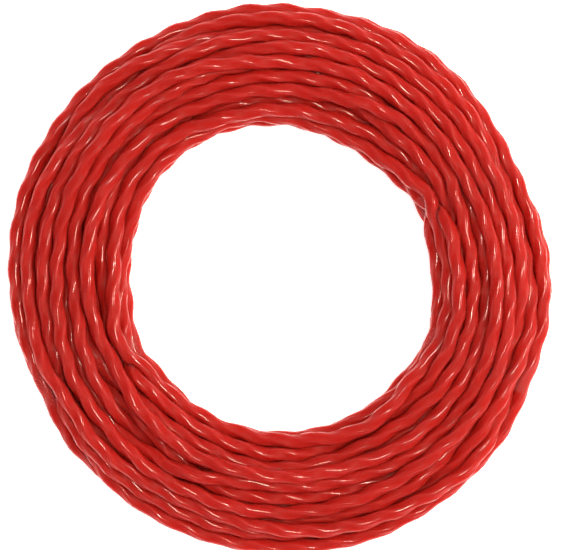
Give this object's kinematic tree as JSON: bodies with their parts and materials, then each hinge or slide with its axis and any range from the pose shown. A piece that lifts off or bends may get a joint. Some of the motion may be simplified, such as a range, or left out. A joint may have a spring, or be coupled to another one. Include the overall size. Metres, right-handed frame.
{
  "type": "hank of twisted nylon string",
  "caption": "Round hank of glossy red twisted nylon string, wound into a flat ring and held by narrow clear film ties.",
  "frame": {"origin": "middle of the hank's underside, on the surface it lies on", "axes": "+Z along the hank's axis, up from the surface; +X and +Y in the plane of the ring, with one tie at 26 degrees from +X, one at -21 and one at 204.5"},
  "size_m": [0.114, 0.114, 0.016],
  "materials": {
    "red_nylon": "glossy extruded nylon with a twisted, rounded-square section",
    "clear_film": "thin clear adhesive film"
  },
  "bodies": {
    "root": {"string_coil": "red_nylon", "film_tie_upper_right": "clear_film", "film_tie_lower_right": "clear_film", "film_tie_left": "clear_film"}
  },
  "joints": []
}
